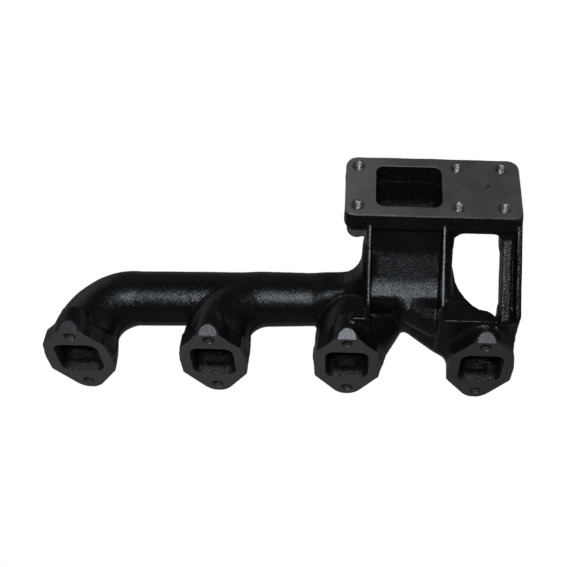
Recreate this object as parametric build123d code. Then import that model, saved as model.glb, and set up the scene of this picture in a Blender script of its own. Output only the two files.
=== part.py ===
from build123d import *
import math
import os

# Cast-iron exhaust manifold of a four-cylinder turbocharged engine. Millimetres.
# Frame: X runs along the row of ports, the port faces lie in the plane Y = 0 and face -Y
# (towards the cylinder head), Z is up and the turbocharger face looks up.
# The origin is midway along the row, midway between the upper and lower bolt holes.

# Ports and their flanges
PORT_PITCH = 120.0
PORT_X = [(i - 1.5) * PORT_PITCH for i in range(4)]
PORT_MID_Z = 2.0
PORT_OPEN_W = 38.6
PORT_OPEN_H = 44.0
PORT_OPEN_R = 9.0
PORT_FLANGE_T = 16.0
BOLT_Z = 38.25
BOLT_HOLE_D = 10.5
FLANGE_TOP_Z = 46.0
FLANGE_TOP_HALF = 9.0
FLANGE_SHOULDER = (27.0, 25.5)
FLANGE_SIDE = (30.0, 4.0)
FLANGE_HIP = (28.8, -17.0)
FLANGE_FOOT_R = 12.3

# Bosses behind the upper bolt holes, with a sloping flat cast on the front of each
BOSS_R = 11.7
BOSS_END_Y = 21.0
BOSS_FLAT_RUN = 9.0

# Runners and the log that gathers ports 1 and 2
RUNNER_R = 26.0
RUNNER_BORE_R = 21.0
BEND_R = 42.0
LOG_Y = 68.0
LOG_R = 25.0
LOG_BORE_R = 19.5
RUNNER_3_R = 28.0
CHEEK_Z = (-6.0, 28.0)
RUNNER_4_TURN_Y = 19.0
RUNNER_4_END = (112.0, 73.0)
RUNNER_4_BEND_R = 35.0
RUNNER_4_R = 27.0
JUNCTION_2_X = (-88.0, -18.0)
JUNCTION_3_X = 31.0

# Collector: bowl below the shoulder, sloping column above it
COLLECTOR_X = (73.5, 150.5)
SHOULDER_Z = 57.0
RISER_X = (81.0, 137.0)
RISER_BEND_Z = 92.0

# Turbocharger flange
TURBO_Z = 125.5
TURBO_T = 19.0
TURBO_X = (55.5, 205.5)
TURBO_Y = (72.5, 139.0)
TURBO_CORNER_R = 8.0
TURBO_ROW_Y = (84.0, 128.0)
TURBO_COLUMN_X = (66.0, 151.0, 189.5)
TURBO_THREAD_D = 10.0
TURBO_HOLE_DEPTH = 26.0
TURBO_OPEN_R = 7.0
STUD_BOSS_R = 10.0
STUD_BOSS_Z = 96.0

# Gussets, webs and the brace post on the head side
GUSSET_T = 3.6
GUSSET_X = (77.0, 140.0)
GUSSET_TOP_Z = 114.5
GUSSET_CORNER_Z = 76.5
WEB_TOP_Z = 56.0
WEB_LEFT_X = 66.0
WEB_LEFT_REAR_Y = 32.0
WEB_RIGHT_X = 191.0
POST_BAR_X = (191.0, 199.0)
POST_RIB_X = (201.6, 205.2)
POST_TOP_Z = 102.0
POST_FOOT_Z = 58.5
POST_DEPTH = 22.0
POST_RECESS = 9.0
POST_TOE = 14.0
FOOT_TOP_Z = 50.0
FOOT_RIGHT_X = 208.0
FOOT_REAR_Y = 34.0

# Flare of the log into the column
FLARE_START_X = 40.0
FLARE_START_Z = 18.0
FLARE_TOP_Z = 72.0
FLARE_Y = (58.0, 84.0)

turbo_under_z = TURBO_Z - TURBO_T
flange_back = PORT_FLANGE_T


def slab_x(points, x0, x1):
    """Plate between two X stations from an outline in (Y, Z)."""
    face = make_face(Polyline(*points, close=True))
    return extrude(Plane.YZ.offset(x0) * face, amount=x1 - x0)


def slab_y(face, y0, y1):
    """Plate between two Y stations from a face drawn in (X, Z)."""
    plane = Plane(origin=(0, y0, 0), x_dir=(1, 0, 0), z_dir=(0, -1, 0))
    return extrude(plane * face, amount=y0 - y1)


def slab_z(face, z0, z1):
    """Plate between two Z stations from a face drawn in (X, Y)."""
    return extrude(Plane.XY.offset(z0) * face, amount=z1 - z0)


def block(x0, x1, y0, y1, z0, z1):
    """Box between two corners."""
    return Pos(x0, y0, z0) * Box(x1 - x0, y1 - y0, z1 - z0, align=(Align.MIN,) * 3)


def rod_y(x, z, radius, y0, y1):
    """Cylinder along Y."""
    return slab_y(Pos(x, z) * Circle(radius), y0, y1)


def rod_x(y, z, radius, x0, x1):
    """Cylinder along X."""
    return extrude(Plane.YZ.offset(x0) * Pos(y, z) * Circle(radius), amount=x1 - x0)


def tube_along(path, radius):
    """Round bar that follows a path starting at its lowest Y, heading along +Y."""
    start = path @ 0
    section = Plane(origin=start, x_dir=(1, 0, 0), z_dir=(0, 1, 0)) * Circle(radius)
    return sweep(section, path=path)


def behind_flanges(shape):
    """The part of a shape that lies behind the port flanges."""
    reach = PORT_X[3] + PORT_PITCH
    return shape & block(-reach, reach, flange_back, reach, -reach, reach)


def elbow_path(x):
    """Centre line of a runner that leaves a port along +Y and bends into the log."""
    y_bend = LOG_Y - BEND_R
    straight = Line((x, flange_back, PORT_MID_Z), (x, y_bend, PORT_MID_Z))
    arc = RadiusArc((x, y_bend, PORT_MID_Z), (x + BEND_R, LOG_Y, PORT_MID_Z), BEND_R)
    return straight + arc


def runner_4_path():
    """Centre line of the runner that turns back from port 4 into the collector."""
    x = PORT_X[3]
    end_x, end_y = RUNNER_4_END
    return FilletPolyline(
        (x, 0, PORT_MID_Z),
        (x, RUNNER_4_TURN_Y, PORT_MID_Z),
        (end_x, end_y, PORT_MID_Z),
        radius=RUNNER_4_BEND_R,
    )


def flange_outline(x):
    """Six-sided port flange outline with a round foot about the lower bolt."""
    side, hip = FLANGE_SIDE, FLANGE_HIP
    half = [(FLANGE_TOP_HALF, FLANGE_TOP_Z), FLANGE_SHOULDER, side, hip]
    foot_x = FLANGE_FOOT_R * math.sin(math.radians(45))
    foot_z = -BOLT_Z - FLANGE_FOOT_R * math.cos(math.radians(45))
    right = half + [(foot_x, foot_z)]
    left = [(-px, pz) for px, pz in reversed(right)]
    body = make_face(Polyline(*right, *left, close=True))
    foot = Pos(0, -BOLT_Z) * Circle(FLANGE_FOOT_R)
    return Pos(x, 0) * (body + foot)


def boss_flat_cutter(x):
    """Wedge that leaves the sloping flat on the front of an upper boss."""
    high_z = BOLT_Z + BOSS_R
    far = FLANGE_TOP_Z + BOSS_R * 3
    profile = [(-1, FLANGE_TOP_Z), (0, FLANGE_TOP_Z), (BOSS_FLAT_RUN, high_z), (BOSS_FLAT_RUN, far), (-1, far)]
    return slab_x(profile, x - BOSS_R * 2, x + BOSS_R * 2)


def upper_boss_bar(x, y0, y1):
    """Round boss bar about an upper bolt hole, trimmed by its sloping flat."""
    return rod_y(x, BOLT_Z, BOSS_R, y0, y1) - boss_flat_cutter(x)


def riser_passage():
    """Gas way from the bowl up the sloping column to the turbocharger opening."""
    y0, y1 = TURBO_ROW_Y
    profile = [
        (y0, turbo_under_z + 1),
        (y0, RISER_BEND_Z),
        (57.0, 65.0),
        (46.0, 50.0),
        (46.0, PORT_MID_Z - LOG_BORE_R),
        (90.0, PORT_MID_Z - LOG_BORE_R),
        (92.0, 20.0),
        (y1, 80.0),
        (y1, turbo_under_z + 1),
    ]
    return slab_x(profile, *RISER_X)


def collector_body():
    """Outside of the bowl and column, before the passages are taken out."""
    low = PORT_MID_Z - LOG_R
    profile = [
        (74.0, turbo_under_z),
        (74.0, 89.0),
        (49.5, 64.0),
        (39.0, SHOULDER_Z),
        (32.0, 52.0),
        (31.0, 14.0),
        (36.0, 0.0),
        (44.0, -16.0),
        (52.0, low),
        (92.0, low),
        (99.0, -16.0),
        (99.5, 20.0),
        (135.5, 80.0),
        (135.5, turbo_under_z),
    ]
    return slab_x(profile, *COLLECTOR_X)


def turbo_opening():
    """Rounded rectangular gas opening in the turbocharger flange."""
    x0, x1 = RISER_X
    y0, y1 = TURBO_ROW_Y
    face = Pos((x0 + x1) / 2, (y0 + y1) / 2) * RectangleRounded(x1 - x0, y1 - y0, TURBO_OPEN_R)
    return slab_z(face, turbo_under_z - 1, TURBO_Z + 1)


def turbo_plate():
    """Turbocharger flange plate with rounded corners."""
    x0, x1 = TURBO_X
    y0, y1 = TURBO_Y
    face = Pos((x0 + x1) / 2, (y0 + y1) / 2) * RectangleRounded(x1 - x0, y1 - y0, TURBO_CORNER_R)
    return slab_z(face, turbo_under_z, TURBO_Z)


def gusset(x):
    """Triangular rib from behind the port flanges up to the turbocharger flange."""
    profile = [
        (TURBO_Y[0], turbo_under_z),
        (TURBO_Y[0], GUSSET_TOP_Z),
        (flange_back, GUSSET_CORNER_Z),
        (flange_back, PORT_MID_Z),
        (TURBO_Y[0], PORT_MID_Z),
    ]
    return slab_x(profile, x - GUSSET_T / 2, x + GUSSET_T / 2)


def web_left():
    """Web between the upper boss of port 3 and the left gusset."""
    return block(WEB_LEFT_X, GUSSET_X[0], flange_back, WEB_LEFT_REAR_Y, PORT_MID_Z, WEB_TOP_Z)


def web_right():
    """Web between the right gusset and the brace post, with a hollowed rear edge."""
    x0 = GUSSET_X[1]
    rear = Spline(
        (WEB_RIGHT_X, 21.0),
        (174.0, 29.5),
        (162.5, 40.0),
        (155.0, 56.0),
        (152.5, 74.0),
    )
    outline = (
        Polyline((152.5, 74.0), (x0, 74.0), (x0, flange_back), (WEB_RIGHT_X, flange_back), (WEB_RIGHT_X, 21.0))
        + rear
    )
    return slab_z(make_face(outline), PORT_MID_Z, WEB_TOP_Z)


def sloping_bar(x0, x1, top_z, foot_z, depth):
    """Bar that leans from behind port 4 up and out to the turbocharger flange."""
    y0, y1 = flange_back, TURBO_Y[0]
    length = math.hypot(y1 - y0, top_z - foot_z)
    drop = depth * length / (y1 - y0)
    rear_y = y1 + drop * (y1 - y0) / (top_z - foot_z)
    rear_z = min(top_z, turbo_under_z - 1)
    toe = foot_z - drop / 2
    profile = [(y0, foot_z), (y1, top_z), (y1, turbo_under_z), (rear_y, turbo_under_z)]
    profile += [(rear_y, rear_z), (y0 + POST_TOE, toe), (y0, toe)]
    return slab_x(profile, x0, x1)


def post_foot():
    """Block under the brace post, beside the upper boss of port 4."""
    return block(WEB_RIGHT_X, FOOT_RIGHT_X, flange_back, FOOT_REAR_Y, PORT_MID_Z, FOOT_TOP_Z)


def log_flare():
    """Hollow-curved shoulder where the log rises into the left wall of the column."""
    wall = COLLECTOR_X[0]
    outline = [
        (wall, PORT_MID_Z),
        (wall, FLARE_TOP_Z),
        (72.6, 58.0),
        (70.6, 48.0),
        (65.2, 37.0),
        (56.0, 28.0),
        (FLARE_START_X, FLARE_START_Z),
        (FLARE_START_X, PORT_MID_Z),
    ]
    return slab_y(make_face(Polyline(*outline, close=True)), *FLARE_Y)


def runner_3_flare():
    """Cheek that carries the right side of runner 3 across to the bowl."""
    inner = PORT_X[2] + RUNNER_3_R - 2
    outline = [
        (inner, flange_back),
        (92.5, flange_back),
        (97.0, 26.0),
        (106.0, 32.0),
        (114.0, 36.0),
        (114.0, 45.0),
        (inner, 45.0),
    ]
    return slab_z(make_face(Polyline(*outline, close=True)), *CHEEK_Z)


def passages():
    """Every gas way in the casting, as one solid."""
    ways = []
    for x in PORT_X:
        face = Pos(x, PORT_MID_Z) * RectangleRounded(PORT_OPEN_W, PORT_OPEN_H, PORT_OPEN_R)
        ways.append(slab_y(face, -1, flange_back + 0.5))
    ways.append(tube_along(elbow_path(PORT_X[0]), RUNNER_BORE_R))
    ways.append(tube_along(elbow_path(PORT_X[1]), RUNNER_BORE_R))
    ways.append(rod_x(LOG_Y, PORT_MID_Z, LOG_BORE_R, PORT_X[0] + BEND_R, RISER_X[1] - 5))
    ways.append(rod_y(PORT_X[2], PORT_MID_Z, RUNNER_BORE_R, flange_back, LOG_Y))
    ways.append(behind_flanges(tube_along(runner_4_path(), RUNNER_BORE_R)))
    ways.append(riser_passage())
    ways.append(turbo_opening())
    return ways


def screw_holes():
    """Bolt holes of the ports and tapped holes of the turbocharger flange."""
    holes = []
    for x in PORT_X:
        holes.append(rod_y(x, BOLT_Z, BOLT_HOLE_D / 2, -1, 40.0))
        holes.append(rod_y(x, -BOLT_Z, BOLT_HOLE_D / 2, -1, flange_back + 1))
    for x in TURBO_COLUMN_X:
        for y in TURBO_ROW_Y:
            circle = Pos(x, y) * Circle(TURBO_THREAD_D / 2)
            holes.append(slab_z(circle, TURBO_Z - TURBO_HOLE_DEPTH, TURBO_Z + 1))
    return holes


def build_nodes():
    """Solids of the casting in order of claim: each later one gives way to the earlier ones."""
    low, high = COLLECTOR_X
    x1, x2, x3, x4 = PORT_X
    log_end = x1 + BEND_R
    shapes = {}
    for i, x in enumerate(PORT_X, 1):
        shapes[f"port_flange_{i}"] = slab_y(flange_outline(x), 0, flange_back) + upper_boss_bar(x, 0, flange_back)
    shapes["turbo_flange"] = turbo_plate()
    shapes["runner_1"] = tube_along(elbow_path(x1), RUNNER_R)
    shapes["log_left"] = rod_x(LOG_Y, PORT_MID_Z, LOG_R, log_end, JUNCTION_2_X[0])
    shapes["runner_2"] = tube_along(elbow_path(x2), RUNNER_R) + rod_x(LOG_Y, PORT_MID_Z, LOG_R, *JUNCTION_2_X)
    shapes["log_right"] = rod_x(LOG_Y, PORT_MID_Z, LOG_R, JUNCTION_2_X[1], JUNCTION_3_X)
    junction = rod_x(LOG_Y, PORT_MID_Z, LOG_R, JUNCTION_3_X, low)
    shapes["runner_3"] = (rod_y(x3, PORT_MID_Z, RUNNER_3_R, flange_back, LOG_Y) + junction) & block(
        JUNCTION_3_X, low, 0, TURBO_Y[1], -60, 60
    )
    body = collector_body()
    split = block(low, high, 0, TURBO_Y[1], -60, SHOULDER_Z)
    shapes["collector_bowl"] = body & split
    shapes["collector_column"] = body - split
    shapes["runner_4"] = behind_flanges(tube_along(runner_4_path(), RUNNER_4_R))
    past_port_3 = block(low, x3 + RUNNER_3_R + 1, flange_back, LOG_Y, -60, 60)
    cheek = rod_y(x3, PORT_MID_Z, RUNNER_3_R, flange_back, LOG_Y) & past_port_3
    shapes["runner_3_cheek"] = cheek + runner_3_flare()
    shapes["log_flare"] = log_flare()
    shapes["gusset_left"] = gusset(GUSSET_X[0])
    shapes["gusset_right"] = gusset(GUSSET_X[1])
    shapes["web_left"] = web_left()
    shapes["web_right"] = web_right()
    shapes["post_foot"] = post_foot()
    shapes["post_bar"] = sloping_bar(*POST_BAR_X, POST_TOP_Z, POST_FOOT_Z, POST_DEPTH)
    shapes["post_rib"] = sloping_bar(*POST_RIB_X, GUSSET_TOP_Z, POST_FOOT_Z, POST_DEPTH)
    web_x = (POST_BAR_X[1], POST_RIB_X[0])
    web_z = (POST_TOP_Z - POST_RECESS, POST_FOOT_Z - POST_RECESS)
    shapes["post_web"] = sloping_bar(*web_x, *web_z, POST_DEPTH - POST_RECESS)
    for i, x in enumerate(PORT_X[:3], 1):
        shapes[f"bolt_boss_{i}"] = upper_boss_bar(x, flange_back, BOSS_END_Y)
    boss_spots = {
        "stud_boss_left_front": (0, 0),
        "stud_boss_left_rear": (0, 1),
        "stud_boss_middle_front": (1, 0),
        "stud_boss_middle_rear": (1, 1),
        "stud_boss_right_front": (2, 0),
        "stud_boss_right_rear": (2, 1),
    }
    for name, (column, row) in boss_spots.items():
        circle = Pos(TURBO_COLUMN_X[column], TURBO_ROW_Y[row]) * Circle(STUD_BOSS_R)
        shapes[name] = slab_z(circle, STUD_BOSS_Z, turbo_under_z)
    return shapes


def touches(a, b):
    """True where the boxes of two shapes meet."""
    box_a, box_b = a.bounding_box(), b.bounding_box()
    spans = zip(box_a.min, box_a.max, box_b.min, box_b.max)
    return all(a0 < b1 and b0 < a1 for a0, a1, b0, b1 in spans)


def main():
    shapes = build_nodes()
    hollows = passages() + screw_holes()
    os.makedirs("parts", exist_ok=True)
    claimed = []
    for name, raw in shapes.items():
        solid = raw
        for other in claimed + hollows:
            if touches(solid, other):
                solid = solid - other
        claimed.append(raw)
        export_step(solid, f"parts/{name}.step")


main()
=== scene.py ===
"""Looks of a cast-iron turbocharger exhaust manifold.

The casting is one distance field in millimetres: every runner, flange, rib and boss is a distance function,
and smooth unions give the cast fillets. A lattice over the field is turned into one mesh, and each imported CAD
node owns the share of the iron nearest to it, so the pieces meet face to face with no gap.
"""

import math

import bpy
import numpy as np
from mathutils import Matrix, Vector

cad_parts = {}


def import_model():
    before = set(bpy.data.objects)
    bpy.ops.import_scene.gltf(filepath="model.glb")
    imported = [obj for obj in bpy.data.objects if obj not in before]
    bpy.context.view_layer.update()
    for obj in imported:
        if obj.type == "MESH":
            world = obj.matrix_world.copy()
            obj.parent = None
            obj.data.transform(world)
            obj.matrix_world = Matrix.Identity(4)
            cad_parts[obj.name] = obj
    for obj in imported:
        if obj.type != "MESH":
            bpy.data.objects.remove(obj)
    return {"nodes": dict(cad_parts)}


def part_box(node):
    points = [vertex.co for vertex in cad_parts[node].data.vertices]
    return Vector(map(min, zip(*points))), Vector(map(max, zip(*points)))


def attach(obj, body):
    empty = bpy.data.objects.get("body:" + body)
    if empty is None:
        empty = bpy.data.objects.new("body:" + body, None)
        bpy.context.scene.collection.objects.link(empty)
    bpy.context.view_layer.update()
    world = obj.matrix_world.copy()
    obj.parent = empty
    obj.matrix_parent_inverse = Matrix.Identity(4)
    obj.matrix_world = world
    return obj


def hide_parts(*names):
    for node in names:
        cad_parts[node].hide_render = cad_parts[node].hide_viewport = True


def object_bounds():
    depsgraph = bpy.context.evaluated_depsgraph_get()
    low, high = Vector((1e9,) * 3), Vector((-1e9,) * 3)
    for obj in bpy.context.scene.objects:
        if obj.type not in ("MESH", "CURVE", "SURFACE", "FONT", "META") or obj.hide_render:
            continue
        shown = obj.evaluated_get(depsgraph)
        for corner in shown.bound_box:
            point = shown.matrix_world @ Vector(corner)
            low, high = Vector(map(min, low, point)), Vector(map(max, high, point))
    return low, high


MM = 0.001
FAR = np.float32(1e3)

# Ports, flanges and bosses (millimetres, row frame)
PORT_X = (-180.0, -60.0, 60.0, 180.0)
PORT_MID_Z = 2.0
PORT_HALF = (19.3, 22.0)
PORT_CORNER_R = 9.0
MOUTH_INSET = 3.4
MOUTH_RUN = 5.0
MOUTH_OVERRUN = 2.0
FLANGE_T = 16.0
FLANGE_DRAFT = 0.04
FLANGE_EDGE = 3.0
FLANGE_HALF_OUTLINE = [
    (-20.0, 46.0), (9.0, 46.0), (27.0, 25.5), (29.9, 4.0), (29.5, -17.4), (9.4, -47.5), (-20.0, -47.5),
]
FOOT_R = 12.3
FOOT_BLEND = 1.0
BOLT_Z = 38.25
BOLT_HOLE_R = 5.25
# Height and depth of the upper and the lower bolt hole
BOLT_HOLES = ((BOLT_Z, 40.0), (-BOLT_Z, 20.0))
BOSS_R = 11.9
BOSS_Y = (-8.0, 27.0)
BOSS_EDGE = 6.0
BOSS_FLAT_Z = 46.0
BOSS_FLAT_SLOPE = (4.0, 9.0)
BOSS_FLAT_ARCH = (7.9, 8.9)
CUTTER_OVERRUN = 0.6

# Log, runners and collector
LOG_Y = 68.6
LOG_TILT = 0.024
LOG_PIVOT_X = -40.0
LOG_R = 25.0
LOG_BORE_R = 19.5
LOG_BORE_X = (-135.0, 132.0)
# Stretches of the log that belong to the nodes log_left, log_right and runner_3
LOG_LEFT_X = (-135.0, -88.0)
LOG_RIGHT_X = (-90.0, 32.0)
LOG_RUNNER_3_X = (30.0, 80.0)
BEND_R = 45.0
RUNNER_START_Y = 6.0
RUNNER_EDGE = 3.0
# Radii of an elbow where it leaves its port, where it joins the log, and at the port on the inner side of the
# bend; then the length of its tail along the log, and how much thinner the tail gets
ELBOW_1 = ((27.4, 25.7, 31.4), 220.0, 0.7)
ELBOW_2 = ((29.0, 25.8, 31.0), 34.0, 1.6)
ELBOW_3 = ((28.6, 27.8, 31.6), 12.0, 2.0)
NUBS = ((34.5, 46.0, 0.0, 6.0), (-88.0, 47.0, 0.0, 4.5))
NUB_SQUASH = 0.6
BORE_R = 21.0
BORE_START_Y = 12.0
BORE_EDGE = 4.0
BEND_BORE_TAIL = 10.0
# Round bars with an (X, Y, Z, radius) at each end
CHEEK = ((68.0, 16.0, 2.0, 25.5), (87.5, 55.5, 1.0, 27.0))
HOOD = ((113.0, 39.5, 40.0, 14.3), (137.0, 35.0, 29.0, 16.6))
HOOD_CORE = ((150.0, 43.0, 3.0, 23.6), (117.0, 64.0, 15.0, 26.0))
RUNNER_4_R = 24.0
# Swelling on the outer side of runner 4 at its root: height, width, where it ends and how far it fades
RUNNER_4_ROOT = 3.9
RUNNER_4_ROOT_WIDTH = 20.0
RUNNER_4_ROOT_END = 22.0
RUNNER_4_ROOT_FADE = 12.0
RUNNER_4_ARC = (145.0, 2.1, 35.0)
RUNNER_4_TURN = math.radians(51.5)
RUNNER_4_END = (112.0, 73.0)
COLLECTOR_X = (73.5, 150.5)
COLLECTOR_EDGE = 8.0
COLLECTOR_OUTLINE = [
    (74.0, 116.0), (74.0, 89.0), (48.5, 62.6), (37.6, 56.0), (34.9, 50.8), (36.8, 38.0), (44.0, 14.0),
    (48.0, -14.0), (56.0, -23.0), (92.0, -23.0), (99.0, -16.0), (99.5, 20.0), (135.5, 80.0), (135.5, 116.0),
]
RISER_X = (82.0, 137.0)
RISER_EDGE = 8.0
RISER_OUTLINE = [
    (84.0, 140.0), (84.0, 92.0), (57.0, 65.0), (46.0, 50.0), (46.0, -17.5), (90.0, -17.5), (92.0, 20.0),
    (128.0, 80.0), (128.0, 140.0),
]
FLARE_OUTLINE = [
    (77.0, 2.0), (77.0, 78.0), (74.3, 78.0), (73.4, 63.0), (71.4, 54.0), (67.2, 46.5), (62.0, 39.8),
    (56.0, 34.0), (46.0, 29.0), (34.0, 25.0), (34.0, 2.0),
]
FLARE_Y = (58.0, 84.0)
FLARE_EDGE = 10.0

# Turbocharger flange
TURBO_Z = (106.5, 125.5)
TURBO_X = (55.0, 205.5)
TURBO_Y = (72.5, 139.0)
TURBO_CORNER_R = (8.0, 11.0)
TURBO_LOWER_EDGE = 3.0
TURBO_UPPER_EDGE = 1.6
TURBO_OPEN_Y = (84.0, 128.0)
TURBO_OPEN_R = 7.0
STUD_X = {"left": 66.0, "middle": 151.0, "right": 189.5}
STUD_Y = {"front": 84.0, "rear": 128.0}
STUD_BOSS_R = 9.3
STUD_BOSS_Z = {"left": 90.5, "middle": 100.0, "right": 100.0}
STUD_BOSS_TOP_Z = 112.0
STUDS = {
    f"{column}_{row}": (centre_x, centre_y, STUD_BOSS_Z[column])
    for column, centre_x in STUD_X.items()
    for row, centre_y in STUD_Y.items()
}
STUD_BOSS_EDGE = 4.0
WINDOW_PAD = ((140.0, 202.0), (72.5, 86.0), (82.0, 112.0))
WINDOW_TOP = ((150.4, 190.5), 103.4)
WINDOW_CORNER_R = 7.5
WINDOW_EDGE = 2.0

# M10 threads of the stud holes
STUD_HOLE_DEPTH = 26.0
THREAD_OUTER_R = 5.7
THREAD_CREST_R = 4.25
THREAD_ROOT_R = 5.05
THREAD_PITCH = 1.5
THREAD_END_Z = TURBO_Z[1] - STUD_HOLE_DEPTH
THREAD_CHAMFER = 0.25
# Steepness of the flanks and how much of the crest is cut off
THREAD_TOOTH = (1.35, 0.15)
THREAD_TURN_STEPS = 48
THREAD_PITCH_STEPS = 8
SLEEVE_WALL = 0.3
SLEEVE_SHORT_OF_END = 1.0
SLEEVE_BELOW_FACE = 0.03
SLEEVE_SHARP = math.radians(35)

# Gussets, webs and brace post
GUSSET_X = (77.0, 140.0)
GUSSET_T = 2.5
RIB_EDGE = 0.7
GUSSET_OUTLINE = [(80.0, 2.0), (80.0, 110.0), (72.5, 114.5), (16.0, 76.5), (16.0, 2.0)]
WEB_TOP_Z = 54.3
WEB_LEFT_OUTLINE = [(61.5, 16.0), (78.0, 16.0), (78.0, 30.0), (66.0, 25.0)]
WEB_RIGHT_OUTLINE = [
    (139.0, 16.0), (195.0, 16.0), (189.1, 21.2), (184.0, 25.8), (180.5, 27.8), (174.2, 29.3), (168.6, 33.5),
    (162.5, 40.3), (157.8, 48.5), (154.5, 57.4), (152.6, 74.6), (139.0, 80.0),
]
POST_BAR_X = (191.0, 199.6)
POST_FRONT_Y = 14.0
POST_BAR_TOP = ((16.0, 58.5), (72.5, 102.0))
POST_WEB_TOP = ((16.0, 40.0), (72.5, 97.0))
POST_RIB_TOP = ((16.0, 60.5), (72.5, 114.5))
POST_RIB_X = (206.4, 203.7)
POST_WEB_X = (193.0, 203.7)
POST_RIB_HALF = 2.2
POST_RIB_EXTRA_DEPTH = 6.0
POST_TOP_Z = 108.0
POST_DEPTH = 20.0
POST_BAR_EDGE = 1.4
POST_WEB_EDGE = 1.5
POST_END_EDGE = 2.0
FOOT_X = (191.0, 206.0)
FOOT_Y = (13.0, 34.0)
FOOT_TOP_Z = 54.3

# Surface of the casting
PARTING_Z = 3.0
PARTING_RISE = 1.2
PARTING_WIDTH = 1.0
WAVINESS = 0.12
BORE_WAVINESS = 0.8
BORE_LIP_EDGE = 1.0
# Share of a side of an outline that the arc at its corner may use up
LONGEST_CUT = 0.49

# How far each finish reaches (millimetres), and how level a face must be to take it
# The next nine place the painted highlight on the upward-facing front edges of ribs, ledges and the
# turbocharger face
HIGHLIGHT_WIDTH = 1.1
HIGHLIGHT_LEVEL = 0.3
HIGHLIGHT_INSET = 0.8
HIGHLIGHT_BACK = 0.5
HIGHLIGHT_DOWN = 0.2
HIGHLIGHT_RIM = 0.4
HIGHLIGHT_GUSSET_FROM_Z = 75.5
HIGHLIGHT_WEB_LEFT_X = (61.5, 77.0)
HIGHLIGHT_WEB_RIGHT_X = (144.0, 173.5)
# Where the painted floor reflection lies on the left front stud boss
REFLECTION_BOSS_Z = (84.0, 104.0)
REFLECTION_BOSS_MARGIN = 2.5
BORE_MARGIN = 1.6
FLAT_MARGIN = 0.4
FLAT_RADIUS_MARGIN = 1.0
FLAT_LEVEL = 0.8
PORT_FACE_MARGIN = 0.3
PORT_FACE_LEVEL = 0.9
TURBO_FACE_MARGIN = 0.7
TURBO_FACE_LEVEL = 0.5
DRILLED_MARGIN = 0.35

# Lattice
STEP = 1.25
LOW = np.array([-213.6, -3.4, -54.3])
HIGH = np.array([213.0, 142.0, 129.0])
BLOCK_CELLS = 18
CLEAR_OF_IRON = STEP * 3
REACH = 14.0
SLOPE_REACH = 0.12
OUTSIDE_BOX_PENALTY = 3
# How firmly a vertex is held near the middle of its crossings
MEAN_PULL = 0.04
# A corner turned further than this from its face is crisp and takes its normal from inside the face
CREASE = math.cos(math.radians(18))
CREASE_INSET = 0.4
LEAST_AGREEMENT = 0.2
TINY = 1e-12


# ---- distance functions

def join(a, b, blend):
    """Union of two distances with a fillet."""
    gap = np.maximum(blend - np.abs(a - b), 0) / blend
    return np.minimum(a, b) - gap * gap * (blend / 4)


def meet(a, b, blend):
    """Intersection of two distances with a rounded edge."""
    return -join(-a, -b, blend)


def between(value, low, high):
    """Distance to the slab between two stations along one axis."""
    return np.maximum(low - value, value - high)


def outline(u, v, points):
    """Signed distance to a closed outline drawn in (u, v)."""
    nearest = np.full_like(u, FAR * FAR)
    inside = np.zeros(u.shape, bool)
    for (au, av), (bu, bv) in zip(points, points[1:] + points[:1]):
        eu, ev = bu - au, bv - av
        wu, wv = u - au, v - av
        t = np.clip((wu * eu + wv * ev) / (eu * eu + ev * ev), 0, 1)
        du, dv = wu - eu * t, wv - ev * t
        nearest = np.minimum(nearest, du * du + dv * dv)
        rising = (v >= av) & (v < bv) & (eu * wv > ev * wu)
        falling = (v < av) & (v >= bv) & (eu * wv < ev * wu)
        inside ^= rising | falling
    return np.where(inside, -1, 1) * np.sqrt(nearest)


def fillet_corners(points, radius, steps):
    """The outline with every corner replaced by a short arc."""
    out = []
    count = len(points)
    for i, corner in enumerate(points):
        here = Vector(corner)
        to_last = Vector(points[i - 1]) - here
        to_next = Vector(points[(i + 1) % count]) - here
        half = to_last.angle(to_next) / 2
        longest = LONGEST_CUT * min(to_last.length, to_next.length)
        cut = min(radius / math.tan(half), longest)
        start = here + to_last.normalized() * cut
        end = here + to_next.normalized() * cut
        for step in range(steps + 1):
            t = step / steps
            point = start * (1 - t) ** 2 + here * 2 * t * (1 - t) + end * t * t
            out.append((point.x, point.y))
    return out


FLANGE_CORNERS = fillet_corners(FLANGE_HALF_OUTLINE, radius=8.0, steps=4)
COLLECTOR_CORNERS = fillet_corners(COLLECTOR_OUTLINE, radius=60.0, steps=8)
RISER_CORNERS = fillet_corners(RISER_OUTLINE, radius=14.0, steps=3)
FLARE_CORNERS = fillet_corners(FLARE_OUTLINE, radius=8.0, steps=3)
GUSSET_CORNERS = fillet_corners(GUSSET_OUTLINE, radius=3.0, steps=3)
WEB_LEFT_CORNERS = fillet_corners(WEB_LEFT_OUTLINE, radius=3.0, steps=2)
WEB_RIGHT_CORNERS = fillet_corners(WEB_RIGHT_OUTLINE, radius=3.0, steps=2)


def rounded_box(u, v, half_u, half_v, radius):
    """Distance to a rounded rectangle about the origin of (u, v)."""
    qu = np.abs(u) - half_u + radius
    qv = np.abs(v) - half_v + radius
    return np.hypot(np.maximum(qu, 0), np.maximum(qv, 0)) + np.minimum(np.maximum(qu, qv), 0) - radius


def rounded_plate(u, v, span_u, span_v, radius):
    """Distance to a rounded rectangle that fills a span of u and a span of v."""
    half_u, half_v = (span_u[1] - span_u[0]) / 2, (span_v[1] - span_v[0]) / 2
    return rounded_box(u - sum(span_u) / 2, v - sum(span_v) / 2, half_u, half_v, radius)


def cylinder(x, y, z, centre_x, centre_z, radius, low, high, edge):
    """Distance to a cylinder that stands along Y."""
    return meet(np.hypot(x - centre_x, z - centre_z) - radius, between(y, low, high), edge)


def log_y(x):
    """Centre line of the log, which runs very slightly askew of the row of ports."""
    return LOG_Y + LOG_TILT * (x - LOG_PIVOT_X)


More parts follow.
